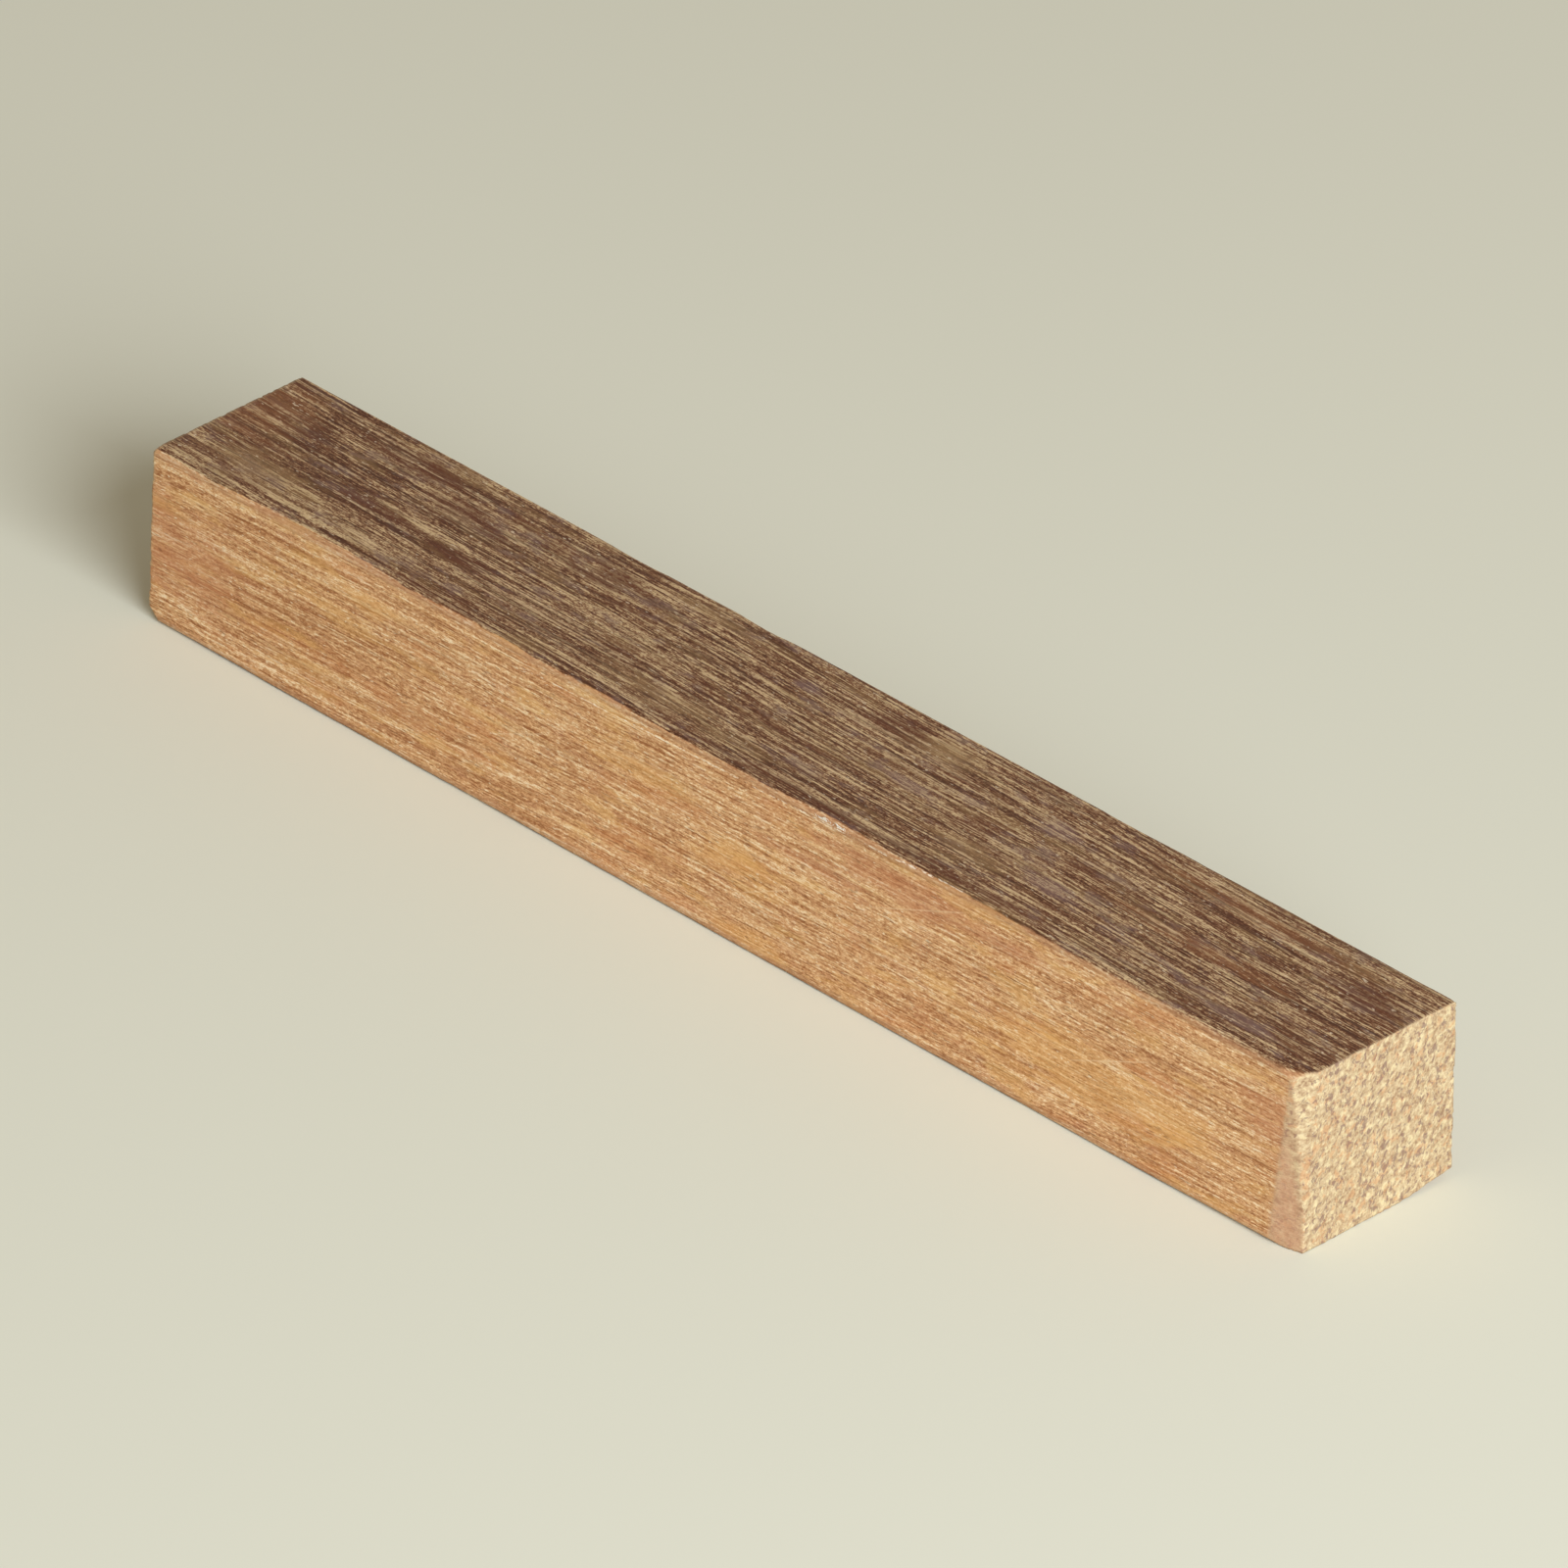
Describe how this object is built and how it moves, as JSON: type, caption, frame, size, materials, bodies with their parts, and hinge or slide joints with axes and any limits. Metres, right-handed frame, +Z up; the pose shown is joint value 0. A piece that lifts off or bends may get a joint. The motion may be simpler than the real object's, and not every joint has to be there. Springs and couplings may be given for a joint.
{
  "type": "wood turning blank",
  "caption": "Near-square stick of hardwood, sawn on all sides and cut to length, with one long edge eased by hand, ready to be drilled and turned on a small lathe.",
  "frame": {"origin": "middle of the lower sawn face, which the blank lies on", "axes": "+X along the grain to the near end in the picture, -Y out of the light front face, +Z up out of the dark face"},
  "size_m": [0.15, 0.02, 0.019],
  "materials": {
    "wood": "bare sawn hardwood, unfinished: fresh orange-tan on the cut faces, oxidised umber brown on the old board faces, pale speckled end grain"
  },
  "bodies": {
    "root": {"blank": "wood"}
  },
  "joints": []
}
